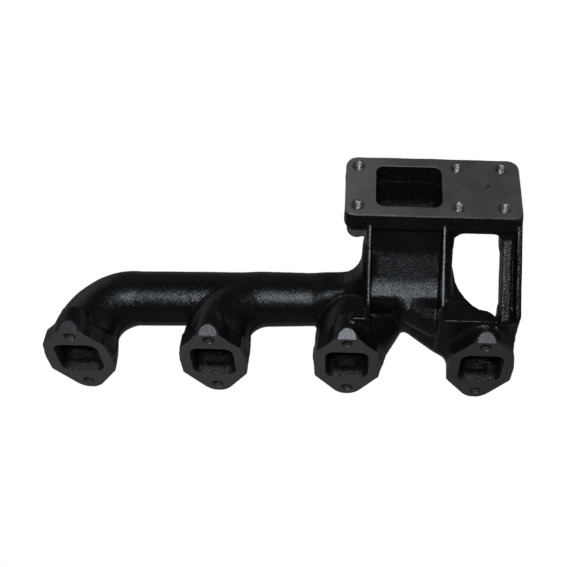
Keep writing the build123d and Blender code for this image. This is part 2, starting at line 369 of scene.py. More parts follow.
def elbow_line(x, y, z, port_x):
    """Distance to the centre line of an elbow, and how far round the bend the point lies, from 0 to 1."""
    dx, dy = port_x + BEND_R - x, y - (log_y(port_x + BEND_R) - BEND_R)
    ring = np.hypot(np.hypot(dx, dy) - BEND_R, z - PORT_MID_Z)
    before = np.hypot(x - port_x, z - PORT_MID_Z)
    after = np.hypot(y - log_y(x), z - PORT_MID_Z)
    round_bend = np.clip(np.arctan2(dy, dx) / (math.pi / 2), 0, 1)
    line = np.where(dy < 0, before, np.where(dx < 0, after, ring))
    return line, round_bend


def runner_4_line(x, y, z):
    """Distance to the centre line of the runner that turns from port 4 back into the collector."""
    cx, cy, radius = RUNNER_4_ARC
    direction = (-math.sin(RUNNER_4_TURN), math.cos(RUNNER_4_TURN))
    start = (cx + radius * math.cos(RUNNER_4_TURN), cy + radius * math.sin(RUNNER_4_TURN))
    along = (x - start[0]) * direction[0] + (y - start[1]) * direction[1]
    beside = (x - start[0]) * direction[1] - (y - start[1]) * direction[0]
    length = math.dist(start, RUNNER_4_END)
    off_end = np.maximum(along - length, 0)
    straight = np.sqrt(beside ** 2 + off_end ** 2 + (z - PORT_MID_Z) ** 2)
    bend = np.hypot(np.hypot(x - cx, y - cy) - radius, z - PORT_MID_Z)
    lead = np.hypot(x - PORT_X[3], z - PORT_MID_Z)
    return np.where(along > 0, straight, np.where(y < cy, lead, bend))


def bead(z):
    """Height of the parting-line bead left by the two halves of the mould."""
    return PARTING_RISE * np.exp(-(((z - PARTING_Z) / PARTING_WIDTH) ** 2))


# ---- the iron, feature by feature

def port_flange(port_x):
    def shape(x, y, z):
        u = np.abs(x - port_x)
        plate = outline(u, z, FLANGE_CORNERS) + 0 * x
        foot = np.hypot(u, z + BOLT_Z) - FOOT_R
        side = join(plate, foot, FOOT_BLEND) + FLANGE_DRAFT * np.maximum(y, 0)
        return meet(side, y - FLANGE_T, FLANGE_EDGE)
    return shape


def above_boss_flat(y, z):
    """Distance above the sloping flat at the front end of each upper bolt boss."""
    rise, run = BOSS_FLAT_SLOPE
    return ((z - BOSS_FLAT_Z) * run - y * rise) / math.hypot(rise, run)


def bolt_boss(port_x):
    def shape(x, y, z):
        return cylinder(x, y, z, port_x, BOLT_Z, BOSS_R, *BOSS_Y, BOSS_EDGE)
    return shape


def boss_flat_cut(port_x):
    """The iron that the cutter takes off to make the flat."""
    def shape(x, y, z):
        limits = np.maximum(np.abs(x - port_x) - FOOT_R, y - BOSS_FLAT_SLOPE[1] - CUTTER_OVERRUN)
        return np.maximum(limits, -above_boss_flat(y, z))
    return shape


def elbow(port_x, radii, tail, sink):
    """Elbow from a port into the log; its tail runs on along the log and gets thinner by sink."""
    def shape(x, y, z):
        line, bent = elbow_line(x, y, z, port_x)
        past = np.clip((x - port_x - BEND_R) / tail, 0, 1)
        radius = radii[0] + (radii[1] - radii[0]) * bent - sink * past
        radius += (radii[2] - radii[0]) * np.clip((x - port_x) / radii[0], 0, 1) * (1 - bent)
        tube = line - radius - bead(z) * (1 - past)
        caps = np.maximum(RUNNER_START_Y - y, x - port_x - BEND_R - tail)
        return meet(tube, caps, RUNNER_EDGE)
    return shape


def log_share(low, high):
    """Stretch of the log, used only to share the iron out between the CAD nodes."""
    def shape(x, y, z):
        return np.maximum(np.hypot(y - log_y(x), z - PORT_MID_Z) - LOG_R, between(x, low, high))
    return shape


def horn(ends):
    """Round bar between two (X, Y, Z, radius) ends."""
    start, end = np.array(ends)
    step = end - start

    def shape(x, y, z):
        wx, wy, wz = x - start[0], y - start[1], z - start[2]
        t = np.clip((wx * step[0] + wy * step[1] + wz * step[2]) / (step[:3] @ step[:3]), 0, 1)
        off = np.sqrt((wx - t * step[0]) ** 2 + (wy - t * step[1]) ** 2 + (wz - t * step[2]) ** 2)
        return off - start[3] - t * step[3]
    return shape


def nub(centre_x, centre_y, centre_z, radius):
    """Small round lump left by the mould in the corner between a runner and the log."""
    def shape(x, y, z):
        rise = (z - centre_z) * NUB_SQUASH
        return np.sqrt((x - centre_x) ** 2 + (y - centre_y) ** 2 + rise ** 2) - radius
    return shape


def window_pad(x, y, z):
    """Thicker rim of the turbocharger flange above the window, with the window's round top corners."""
    along_x, along_y, along_z = WINDOW_PAD
    (left, right), top = WINDOW_TOP
    rim = meet(between(y, *along_y), between(z, *along_z), WINDOW_EDGE)
    rim = np.maximum(rim, between(x, *along_x))
    half = (right - left) / 2
    opening = rounded_box(x - left - half, z - top + 2 * half, half, 2 * half, WINDOW_CORNER_R)
    return meet(rim, -opening, WINDOW_EDGE)


def runner_4(x, y, z):
    outer_side = np.clip((x - PORT_X[3]) / RUNNER_4_ROOT_WIDTH, 0, 1)
    near_port = np.clip((RUNNER_4_ROOT_END - y) / RUNNER_4_ROOT_FADE, 0, 1)
    radius = RUNNER_4_R + RUNNER_4_ROOT * outer_side * near_port
    return meet(runner_4_line(x, y, z) - radius - bead(z), RUNNER_START_Y - y, RUNNER_EDGE)


def collector(x, y, z):
    return meet(outline(y, z, COLLECTOR_CORNERS), between(x, *COLLECTOR_X), COLLECTOR_EDGE)


def log_flare(x, y, z):
    return meet(outline(x, z, FLARE_CORNERS), between(y, *FLARE_Y), FLARE_EDGE)


def turbo_flange(x, y, z):
    corner_r = np.where(y < sum(TURBO_Y) / 2, *TURBO_CORNER_R)
    side = rounded_plate(x, y, TURBO_X, TURBO_Y, corner_r)
    return meet(meet(side, TURBO_Z[0] - z, TURBO_LOWER_EDGE), z - TURBO_Z[1], TURBO_UPPER_EDGE)


def gusset(centre_x):
    def shape(x, y, z):
        return meet(outline(y, z, GUSSET_CORNERS), np.abs(x - centre_x) - GUSSET_T / 2, RIB_EDGE)
    return shape


def flat_web(points):
    def shape(x, y, z):
        return meet(outline(x, y, points), between(z, PORT_MID_Z, WEB_TOP_Z), RIB_EDGE)
    return shape


def above_line(y, z, ends):
    """Distance above the sloping line between two (Y, Z) points."""
    (ay, az), (by, bz) = ends
    length = math.dist(*ends)
    return ((z - az) * (by - ay) - (y - ay) * (bz - az)) / length


def post_limits(y, z):
    return np.maximum(POST_FRONT_Y - y, z - POST_TOP_Z)


def post_bar(x, y, z):
    top = above_line(y, z, POST_BAR_TOP)
    bar = meet(np.maximum(top, -top - POST_DEPTH), between(x, *POST_BAR_X), POST_BAR_EDGE)
    return meet(bar, post_limits(y, z), POST_END_EDGE)


def post_rib_x(y):
    t = (y - FLANGE_T) / (TURBO_Y[0] - FLANGE_T)
    return POST_RIB_X[0] + (POST_RIB_X[1] - POST_RIB_X[0]) * t


def post_rib(x, y, z):
    top = above_line(y, z, POST_RIB_TOP)
    depth = np.maximum(top, -top - POST_DEPTH - POST_RIB_EXTRA_DEPTH)
    rib = meet(depth, np.abs(x - post_rib_x(y)) - POST_RIB_HALF, RIB_EDGE)
    return meet(rib, np.maximum(FLANGE_T - y, y - TURBO_Y[0] - TURBO_CORNER_R[0]), POST_END_EDGE)


def post_web(x, y, z):
    top = above_line(y, z, POST_WEB_TOP)
    under = above_line(y, z, POST_BAR_TOP) + POST_DEPTH
    web = meet(np.maximum(top, -under), between(x, *POST_WEB_X), POST_WEB_EDGE)
    return meet(web, post_limits(y, z), POST_END_EDGE)


def post_foot(x, y, z):
    plan = np.maximum(between(x, *FOOT_X), between(y, *FOOT_Y))
    return meet(plan, between(z, PORT_MID_Z, FOOT_TOP_Z), POST_END_EDGE)


def stud_boss(centre_x, centre_y, foot_z):
    def shape(x, y, z):
        side = np.hypot(x - centre_x, y - centre_y) - STUD_BOSS_R
        return meet(side, between(z, foot_z, STUD_BOSS_TOP_Z), STUD_BOSS_EDGE)
    return shape


def rib_edges():
    """Distances from the thin front edges of ribs and ledges, which take a painted highlight."""
    def gusset_edge(centre_x):
        def shape(x, y, z):
            from_outline = np.maximum(np.abs(outline(y, z, GUSSET_CORNERS)) - HIGHLIGHT_INSET, 0)
            return np.maximum(np.hypot(x - centre_x, from_outline), HIGHLIGHT_GUSSET_FROM_Z - z)
        return shape

    def ledge_edge(span_x, front, level):
        def shape(x, y, z):
            return np.maximum(np.hypot(y - front - HIGHLIGHT_BACK, z - level + HIGHLIGHT_DOWN), between(x, *span_x))
        return shape

    def post_edge(x, y, z):
        left_side = post_rib_x(y) - POST_RIB_HALF + HIGHLIGHT_BACK
        from_top = np.maximum(np.abs(above_line(y, z, POST_RIB_TOP)) - HIGHLIGHT_INSET, 0)
        return np.hypot(x - left_side, from_top)

    def turbo_edge(x, y, z):
        return np.hypot(y - TURBO_Y[0] - HIGHLIGHT_RIM, z - TURBO_Z[1] + HIGHLIGHT_RIM)

    ledges = [
        ledge_edge(HIGHLIGHT_WEB_LEFT_X, FLANGE_T, WEB_TOP_Z),
        ledge_edge(HIGHLIGHT_WEB_RIGHT_X, FLANGE_T, WEB_TOP_Z),
        ledge_edge(FOOT_X, FOOT_Y[0], FOOT_TOP_Z),
    ]
    return [*map(gusset_edge, GUSSET_X), *ledges, post_edge, turbo_edge]


def features():
    """Every feature of the casting as (CAD node, distance function, fillet to what came before).

    A feature with no fillet adds no iron: it only says which CAD node that stretch of iron may belong to.
    """
    made = [
        ("runner_1", elbow(PORT_X[0], *ELBOW_1), 0.1),
        ("log_left", log_share(*LOG_LEFT_X), None),
        ("log_right", log_share(*LOG_RIGHT_X), None),
        ("runner_3", log_share(*LOG_RUNNER_3_X), None),
        ("runner_2", elbow(PORT_X[1], *ELBOW_2), 2.0),
        ("collector_bowl", collector, 8.0),
        ("collector_column", collector, None),
        ("log_flare", log_flare, 11.0),
        ("runner_3", elbow(PORT_X[2], *ELBOW_3), 3.0),
        ("runner_3_cheek", horn(CHEEK), 6.5),
        ("runner_4", runner_4, 5.0),
        ("runner_4", horn(HOOD_CORE), 6.0),
        ("runner_4", horn(HOOD), 5.0),
        ("turbo_flange", turbo_flange, 4.0),
        ("turbo_flange", window_pad, 1.5),
        ("web_left", flat_web(WEB_LEFT_CORNERS), 2.5),
        ("web_right", flat_web(WEB_RIGHT_CORNERS), 3.0),
        ("post_foot", post_foot, 3.0),
        ("gusset_left", gusset(GUSSET_X[0]), 2.5),
        ("gusset_right", gusset(GUSSET_X[1]), 2.5),
        ("post_bar", post_bar, 4.0),
        ("post_web", post_web, 2.0),
        ("post_rib", post_rib, 2.0),
        ("runner_3", nub(*NUBS[0]), 3.0),
        ("runner_2", nub(*NUBS[1]), 3.0),
    ]
    for number, port_x in enumerate(PORT_X, 1):
        made.append((f"port_flange_{number}", port_flange(port_x), 6.0))
        boss_node = f"bolt_boss_{number}" if number < 4 else "web_right"
        made.append((boss_node, bolt_boss(port_x), 6.5))
    made += [(f"stud_boss_{stud}", stud_boss(*place), 5.0) for stud, place in STUDS.items()]
    return made


def gas_ways():
    """Every passage as (distance function, fillet to the passages before)."""
    made = []
    for port_x in PORT_X:
        def mouth(x, y, z, port_x=port_x):
            hole = rounded_box(x - port_x, z - PORT_MID_Z, *PORT_HALF, PORT_CORNER_R)
            inset = MOUTH_INSET * (1 - np.exp(-np.maximum(y, 0) / MOUTH_RUN))
            return meet(hole + inset, y - FLANGE_T - MOUTH_OVERRUN, BORE_EDGE)
        made.append((mouth, 3.0))
    for port_x in PORT_X[:2]:
        def bend(x, y, z, port_x=port_x):
            line = elbow_line(x, y, z, port_x)[0]
            ends = np.maximum(BORE_START_Y - y, x - port_x - BEND_R - BEND_BORE_TAIL)
            return meet(line - BORE_R, ends, BORE_EDGE)
        made.append((bend, 6.0))

    def log_bore(x, y, z):
        bore = np.hypot(y - log_y(x), z - PORT_MID_Z) - LOG_BORE_R
        return np.maximum(bore, between(x, *LOG_BORE_X))

    def runner_3_bore(x, y, z):
        return cylinder(x, y, z, PORT_X[2], PORT_MID_Z, BORE_R, BORE_START_Y, LOG_Y, BORE_EDGE)

    def runner_4_bore(x, y, z):
        return meet(runner_4_line(x, y, z) - BORE_R, BORE_START_Y - y, BORE_EDGE)

    def riser(x, y, z):
        return meet(outline(y, z, RISER_CORNERS), between(x, *RISER_X), RISER_EDGE)

    def turbo_mouth(x, y, z):
        return np.maximum(rounded_plate(x, y, RISER_X, TURBO_OPEN_Y, TURBO_OPEN_R), TURBO_Z[0] - z)

    made += [(log_bore, 5.0), (runner_3_bore, 8.0), (runner_4_bore, 8.0), (riser, 8.0), (turbo_mouth, 2.0)]
    return made


def drillings():
    """Distance functions of the bolt holes and of the drillings for the six threads."""
    made = []
    for port_x in PORT_X:
        for centre_z, depth in BOLT_HOLES:
            def bolt_hole(x, y, z, port_x=port_x, centre_z=centre_z, depth=depth):
                return np.maximum(np.hypot(x - port_x, z - centre_z) - BOLT_HOLE_R, y - depth)
            made.append(bolt_hole)
    for centre_x, centre_y, _ in STUDS.values():
        def stud_hole(x, y, z, centre_x=centre_x, centre_y=centre_y):
            return np.maximum(np.hypot(x - centre_x, y - centre_y) - THREAD_OUTER_R, THREAD_END_Z - z)
        made.append(stud_hole)
    return made


def waviness(x, y, z):
    """Gentle unevenness of a sand-cast surface, never above the drawn surface.

    The factors are in radians per millimetre.
    """
    slow = np.sin(x * 0.171 + 1.3) * np.sin(y * 0.193 + 0.4) + np.sin(z * 0.183 + x * 0.057)
    quick = np.sin(x * 0.61 + y * 0.37) * np.sin(z * 0.53 - y * 0.31 + 2.1)
    return WAVINESS * (1.2 + 0.4 * slow + 0.4 * quick)


# ---- the field, block by block

def grid(*ranges):
    """Every index triple of three ranges, one per row."""
    return np.stack(np.meshgrid(*ranges, indexing="ij"), -1).reshape(-1, 3)


def unit(vectors):
    return vectors / np.maximum(np.linalg.norm(vectors, axis=1, keepdims=True), TINY)


class Casting:
    """Distance field of the casting.

    Points are sorted into blocks, and each block asks only the features near it.
    """

    def __init__(self, boxes):
        self.features = features()
        self.ways = gas_ways()
        self.holes = drillings() + [boss_flat_cut(port_x) for port_x in PORT_X]
        self.nodes = sorted({name for name, _, _ in self.features})
        self.boxes = boxes
        self.side = BLOCK_CELLS * STEP
        self.shape = np.ceil((HIGH - LOW) / self.side).astype(int)
        index = grid(*map(np.arange, self.shape))
        centres = (LOW + (index + 0.5) * self.side).astype(np.float32)
        reach = self.side * math.sqrt(3) / 2 + REACH
        x, y, z = centres.T
        self.near_features = [shape(x, y, z) < reach for _, shape, _ in self.features]
        self.near_ways = [shape(x, y, z) < reach for shape, _ in self.ways]
        self.near_holes = [shape(x, y, z) < reach for shape in self.holes]

    def groups(self, points):
        """Number of each block that holds points, and their indices and places."""
        cell = np.floor((points - LOW) / self.side).astype(int)
        cell = np.clip(cell, 0, self.shape - 1)
        block = (cell[:, 0] * self.shape[1] + cell[:, 1]) * self.shape[2] + cell[:, 2]
        order = np.argsort(block, kind="stable")
        starts = np.flatnonzero(np.diff(block[order], prepend=-1))
        for start, end in zip(starts, [*starts[1:], len(order)]):
            rows = order[start:end]
            yield block[rows[0]], rows, points[rows].T.astype(np.float32)

    def distance_in(self, block, x, y, z):
        """Distance from the finished casting at points that all lie in one block."""
        solid = np.full(x.shape, FAR)
        for (_, shape, blend), near in zip(self.features, self.near_features):
            if near[block] and blend is not None:
                solid = join(solid, shape(x, y, z), blend)
        if solid.min() > CLEAR_OF_IRON:
            return solid
        way = np.full(x.shape, FAR)
        for (shape, blend), near in zip(self.ways, self.near_ways):
            if near[block]:
                way = join(way, shape(x, y, z), blend)
        rough = waviness(x, y, z)
        solid = meet(solid + rough, rough * BORE_WAVINESS - way, BORE_LIP_EDGE)
        for shape, near in zip(self.holes, self.near_holes):
            if near[block]:
                solid = np.maximum(solid, -shape(x, y, z))
        return np.maximum(solid, np.maximum(-y, z - TURBO_Z[1]))

    def distance(self, points):
        out = np.empty(len(points), np.float32)
        for block, rows, place in self.groups(points):
            out[rows] = self.distance_in(block, *place)
        return out

    def slope(self, points):
        """Unit outward direction of the field at the points."""
        total = np.zeros((len(points), 3), np.float32)
        for corner in ((1, -1, -1), (-1, -1, 1), (-1, 1, -1), (1, 1, 1)):
            corner = np.array(corner, np.float32)
            total += corner * self.distance(points + corner * SLOPE_REACH)[:, None]
        return unit(total)

    def owners(self, points):
        """Number of the CAD node, from 1, that each point of iron belongs to."""
        out = np.empty(len(points), np.int16)
        for block, rows, (x, y, z) in self.groups(points):
            best = np.full(len(rows), FAR)
            owner = np.ones(len(rows), np.int16)
            for (name, shape, _), near in zip(self.features, self.near_features):
                if not near[block]:
                    continue
                low, high = self.boxes[name]
                beyond = np.maximum(between(x, low[0], high[0]), between(y, low[1], high[1]))
                beyond = np.maximum(beyond, between(z, low[2], high[2]))
                score = np.maximum(shape(x, y, z), beyond * OUTSIDE_BOX_PENALTY)
                closer = score < best
                best[closer] = score[closer]
                owner[closer] = self.nodes.index(name) + 1
            out[rows] = owner
        return out


# ---- lattice to mesh

def lattice_points(index):
    return LOW + index * STEP


def sample_lattice(casting):
    """Distance and owner at every lattice point; owner 0 is air."""
    counts = np.ceil((HIGH - LOW) / STEP).astype(int)
    value = np.full(counts, FAR, np.float32)
    owner = np.zeros(counts, np.int16)
    for start_x in range(0, counts[0], BLOCK_CELLS):
        rows = np.arange(start_x, min(start_x + BLOCK_CELLS, counts[0]))
        points = lattice_points(grid(rows, np.arange(counts[1]), np.arange(counts[2])))
        distance = casting.distance(points)
        value[rows] = distance.reshape(len(rows), *counts[1:])
        iron = np.flatnonzero(distance < 0)
        slab_owner = np.zeros(len(points), np.int16)
        if len(iron):
            slab_owner[iron] = casting.owners(points[iron])
        owner[rows] = slab_owner.reshape(len(rows), *counts[1:])
    return value, owner


def crossings(value, owner):
    """Lattice edges whose two ends have different owners.

    Gives the axis, the lattice index, the two owners, how far along the edge the surface lies, and whether
    one end is in air.
    """
    found = []
    for axis in range(3):
        ahead = [slice(None)] * 3
        behind = [slice(None)] * 3
        ahead[axis], behind[axis] = slice(1, None), slice(None, -1)
        a, b = owner[tuple(behind)], owner[tuple(ahead)]
        index = np.argwhere(a != b)
        where = tuple(index.T)
        va, vb = value[tuple(behind)][where], value[tuple(ahead)][where]
        surface = (a[where] == 0) | (b[where] == 0)
        share = np.where(surface, va / np.where(surface, va - vb, 1), 0.5)
        found.append((np.full(len(index), axis), index, a[where], b[where], share, surface))
    return [np.concatenate(column) for column in zip(*found)]


def cells_around(axis, index):
    """The four lattice cells that share each edge, in turning order about its axis."""
    unit = np.eye(3, dtype=int)
    u, v = unit[(axis + 1) % 3], unit[(axis + 2) % 3]
    return np.stack([index - u - v, index - v, index, index - u], 1)


def place_vertices(casting, cells, counts, points, surface):
    """One vertex per cell, put where the planes of its surface crossings meet, so that edges stay crisp."""
    flat = np.ravel_multi_index(tuple(cells.reshape(-1, 3).T), counts)
    unique, slot = np.unique(flat, return_inverse=True)
    slot = slot.reshape(-1)
    normal = np.zeros((len(points), 3))
    offset = np.zeros(len(points))
    normal[surface] = casting.slope(points[surface])
    offset[surface] = casting.distance(points[surface])
    repeated = np.repeat(np.arange(len(points)), 4)
    weight = surface[repeated].astype(float)
    total = len(unique)
    any_count = np.bincount(slot, minlength=total)
    hit_count = np.bincount(slot, weight, minlength=total)
    mean = np.empty((total, 3))
    for k in range(3):
        hit = np.bincount(slot, points[repeated, k] * weight, minlength=total) / np.maximum(hit_count, 1)
        plain = np.bincount(slot, points[repeated, k], minlength=total) / any_count
        mean[:, k] = np.where(hit_count > 0, hit, plain)
    matrix = np.empty((total, 3, 3))
    target = np.empty((total, 3))
    gap = np.einsum("ij,ij->i", normal[repeated], points[repeated] - mean[slot]) - offset[repeated]
    for k in range(3):
        target[:, k] = np.bincount(slot, normal[repeated, k] * gap * weight, minlength=total)
        for m in range(3):
            product = normal[repeated, k] * normal[repeated, m] * weight
            matrix[:, k, m] = np.bincount(slot, product, minlength=total)
    matrix += np.eye(3) * (MEAN_PULL * np.maximum(hit_count, 1))[:, None, None]
    move = np.linalg.solve(matrix, target[..., None])[..., 0]
    corner = lattice_points(np.stack(np.unravel_index(unique, counts), -1))
    vertex = np.clip(mean + move, corner, corner + STEP)
    return vertex, slot.reshape(-1, 4)


def corner_normals(casting, vertex, quads, facing):
    """Normal at each corner of each surface quad, from the field; split where an edge is crisp."""
    at_vertex = casting.slope(vertex)
    normals = at_vertex[quads]
    crisp = np.einsum("ijk,ik->ij", normals, facing) < CREASE
    centre = vertex[quads].mean(1)
    row, column = np.nonzero(crisp)
    inward = vertex[quads[row, column]] * (1 - CREASE_INSET) + centre[row] * CREASE_INSET
    normals[row, column] = casting.slope(inward)
    wrong = np.einsum("ijk,ik->ij", normals, facing) < LEAST_AGREEMENT
    normals[wrong] = np.broadcast_to(facing[:, None], normals.shape)[wrong]
    return normals


def face_directions(vertex, quads):
    """Unit direction that each quad faces."""
    a, b, c, d = (vertex[quads[:, k]] for k in range(4))
    return unit(np.cross(c - a, d - b))


def finish_of(centre, facing):
    """Which of FINISHES each surface quad has, as an index."""
    x, y, z = centre.T
    front, up = -facing[:, 1], facing[:, 2]
    finish = np.zeros(len(centre), int)

    def mark(chosen, name):
        finish[chosen] = FINISHES.index(name)

    # painted reflection of the pale floor on the front of the left front stud boss, under the flange
    from_boss = np.hypot(x - STUD_X["left"], y - STUD_Y["front"])
    painted_light = (from_boss < STUD_BOSS_R + REFLECTION_BOSS_MARGIN) & (z > REFLECTION_BOSS_Z[0]) & (z < REFLECTION_BOSS_Z[1])
    mark(painted_light & (front > 0), "painted_floor_reflection")
    for shape in rib_edges():
        # painted highlight on the edges that face up towards the light
        mark((shape(x, y, z) < HIGHLIGHT_WIDTH / 2) & (up > HIGHLIGHT_LEVEL), "painted_edge_highlight")
    for shape, _ in gas_ways():
        mark(shape(x, y, z) < BORE_MARGIN, "cast_bore")
    from_bolt = np.min([np.hypot(x - port_x, z - BOLT_Z) for port_x in PORT_X], axis=0)
    flat = (np.abs(above_boss_flat(y, z)) < FLAT_MARGIN) & (from_bolt < BOSS_R + FLAT_RADIUS_MARGIN)
    mark(flat & (up > FLAT_LEVEL), "bare_flat")
    for shape in drillings():
        mark(np.abs(shape(x, y, z)) < DRILLED_MARGIN, "drilled_iron")
    port_face = (y < PORT_FACE_MARGIN) & (front > PORT_FACE_LEVEL)
    turbo_face = (z > TURBO_Z[1] - TURBO_FACE_MARGIN) & (up > TURBO_FACE_LEVEL)
    mark(port_face | turbo_face, "machined_iron")
    return finish


def build_casting(casting):
    """Meshes of the casting by node: vertices in metres, quads, corner normals and finish of each quad."""
    value, owner = sample_lattice(casting)
    axis, index, side_a, side_b, share, surface = crossings(value, owner)
    counts = value.shape
    points = lattice_points(index + np.eye(3)[axis] * share[:, None])
    cells = np.empty((len(axis), 4, 3), int)
    for k in range(3):
        rows = axis == k
        cells[rows] = cells_around(k, index[rows])
    vertex, quads = place_vertices(casting, cells, counts, points, surface)
    forward = side_a != 0
    quads[surface & ~forward] = quads[surface & ~forward][:, ::-1]
    facing = face_directions(vertex, quads)
    normals = np.repeat(facing[:, None], 4, 1)
    used, flat = np.unique(quads[surface], return_inverse=True)
    normals[surface] = corner_normals(casting, vertex[used], flat.reshape(-1, 4), facing[surface])
    finish = np.zeros(len(quads), int)
    finish[surface] = finish_of(vertex[quads[surface]].mean(1), facing[surface])
    pieces = {}
    for number, node in enumerate(casting.nodes, 1):
        own = (side_a == number) | (surface & (side_b == number))
        turned = (side_b == number) & ~surface
        piece_quads = np.concatenate([quads[own], quads[turned][:, ::-1]])
        piece_normals = np.concatenate([normals[own], -normals[turned][:, ::-1]])
        piece_finish = np.concatenate([finish[own], finish[turned]])
        keep, local = np.unique(piece_quads, return_inverse=True)
        pieces[node] = (vertex[keep] * MM, local.reshape(-1, 4), piece_normals, piece_finish)
    return pieces


def add_object(name, data):
    """New object in the scene."""
    made = bpy.data.objects.new(name, data)
    bpy.context.scene.collection.objects.link(made)
    return made


def make_piece(name, vertices, quads, normals, finish, materials):
    """Object made of quads, with the field's own normals and one material slot per finish it shows."""
    mesh = bpy.data.meshes.new(name)
    mesh.vertices.add(len(vertices))
    mesh.vertices.foreach_set("co", vertices.astype(np.float32).ravel())
    mesh.loops.add(quads.size)
    mesh.loops.foreach_set("vertex_index", quads.ravel().astype(np.int32))
    mesh.polygons.add(len(quads))
    mesh.polygons.foreach_set("loop_start", np.arange(0, quads.size, 4, dtype=np.int32))
    used, slots = np.unique(finish, return_inverse=True)
    for number in used:
        mesh.materials.append(materials[FINISHES[number]])
    mesh.polygons.foreach_set("material_index", slots.reshape(-1).astype(np.int32))
    mesh.polygons.foreach_set("use_smooth", np.ones(len(quads), bool))
    mesh.update(calc_edges=True)
    mesh.normals_split_custom_set(normals.reshape(-1, 3).tolist())
    return add_object(name, mesh)


def thread_sleeve(name, centre_x, centre_y, material):
    """Tapped thread of a stud hole: a closed sleeve with a helical inside and a chamfered mouth."""
    steps = THREAD_TURN_STEPS
    depth = np.arange(0, STUD_HOLE_DEPTH - SLEEVE_SHORT_OF_END, THREAD_PITCH / THREAD_PITCH_STEPS)
    angle = np.arange(steps) * (2 * math.pi / steps)
    phase = (depth[:, None] / THREAD_PITCH + angle[None, :] / (2 * math.pi)) % 1
    steepness, crest_cut = THREAD_TOOTH
    tooth = np.clip(np.abs(phase * 2 - 1) * steepness - crest_cut, 0, 1)
    inside = THREAD_CREST_R + (THREAD_ROOT_R - THREAD_CREST_R) * tooth
    inside = np.maximum(inside, THREAD_OUTER_R - THREAD_CHAMFER - depth[:, None])
    outside = THREAD_OUTER_R + SLEEVE_WALL
    rims = np.repeat([[THREAD_CREST_R], [outside], [outside]], steps, axis=1)
    radius = np.vstack([inside, rims])
    foot = STUD_HOLE_DEPTH - SLEEVE_SHORT_OF_END / 2
    level = np.concatenate([depth, [foot, foot, 0.0]])
    x = centre_x + radius * np.cos(angle)
    y = centre_y + radius * np.sin(angle)
    z = np.repeat((TURBO_Z[1] - SLEEVE_BELOW_FACE - level)[:, None], steps, 1)
    vertices = np.stack([x, y, z], -1).reshape(-1, 3) * MM
    step, next_step = np.arange(steps), np.arange(1, steps + 1) % steps
    ring = np.arange(len(level))[:, None] * steps
    next_ring = np.roll(ring, -1, axis=0)
    corners = [ring + step, ring + next_step, next_ring + next_step, next_ring + step]
    quads = np.stack(corners, -1).reshape(-1, 4)
    mesh = bpy.data.meshes.new(name)
    mesh.from_pydata(vertices.tolist(), [], quads.tolist())
    mesh.materials.append(material)
    mesh.shade_smooth()
    mesh.set_sharp_from_angle(angle=SLEEVE_SHARP)
    return add_object(name, mesh)


# ---- materials

SKIN_GLOSS = 0.27
# Sockets of the Mix node that carry the factor and the two colours, and the mixed colour
MIX_INPUTS = (0, 6, 7)
MIX_OUTPUT = 2
# One short nick in the turbocharger face (metres and radians)
NICK_PLACE = (0.1775, 0.1085, 0.1255)
NICK_TURN = (0.0, 0.0, 0.7)
NICK_HALF_SIZE = (0.0034, 0.0013, 0.0034)


class Nodes:
    """Small helper that adds shader nodes and links them by socket name."""

    def __init__(self, name):
        self.material = bpy.data.materials.new(name)
        self.material.use_nodes = True
        self.tree = self.material.node_tree
        self.tree.nodes.clear()
        self.place = self.add("ShaderNodeTexCoord").outputs["Object"]

    def add(self, kind, settings=None, **inputs):
        node = self.tree.nodes.new(kind)
        for key, value in (settings or {}).items():
            setattr(node, key, value)
        for key, value in inputs.items():
            self.feed(node.inputs[key.replace("_", " ")], value)
        return node

    def feed(self, socket, value):
        if isinstance(value, bpy.types.NodeSocket):
            self.tree.links.new(value, socket)
        else:
            socket.default_value = value

    def noise(self, per_mm, detail=2.0, roughness=0.5, stretch=None):
        """Noise with its grain given as features per millimetre."""
        place = self.place
        if stretch:
            place = self.add("ShaderNodeMapping", Vector=place, Scale=stretch).outputs["Vector"]
        settings = {"Scale": per_mm / MM, "Detail": detail, "Roughness": roughness}
        return self.add("ShaderNodeTexNoise", Vector=place, **settings).outputs["Fac"]

    def axis(self, letter):
        """Place of the point along one axis, in metres."""
        return self.add("ShaderNodeSeparateXYZ", Vector=self.place).outputs[letter]

    def spread(self, value, low, high, to_low=0.0, to_high=1.0):
        """Stretches low to high out over to_low to to_high, and holds the ends."""
        ends = {"From_Min": low, "From_Max": high, "To_Min": to_low, "To_Max": to_high}
        return self.add("ShaderNodeMapRange", {"clamp": True}, Value=value, **ends).outputs["Result"]

    def maths(self, operation, a, b):
        made = self.add("ShaderNodeMath", {"operation": operation})
        self.feed(made.inputs[0], a)
        self.feed(made.inputs[1], b)
        return made.outputs["Value"]

    def mix(self, factor, a, b):
        made = self.add("ShaderNodeMix", {"data_type": "RGBA"})
        for number, value in zip(MIX_INPUTS, (factor, a, b)):
            self.feed(made.inputs[number], value)
        return made.outputs[MIX_OUTPUT]

    def bump(self, height, distance_mm, strength=1.0, after=None):
        made = self.add("ShaderNodeBump", Height=height, Distance=distance_mm * MM, Strength=strength)
        if after is not None:
            self.feed(made.inputs["Normal"], after)
        return made.outputs["Normal"]

    def finish(self, **inputs):
        surface = self.add("ShaderNodeBsdfPrincipled", **inputs)
        output = self.add("ShaderNodeOutputMaterial")
        self.feed(output.inputs["Surface"], surface.outputs["BSDF"])
        return self.material


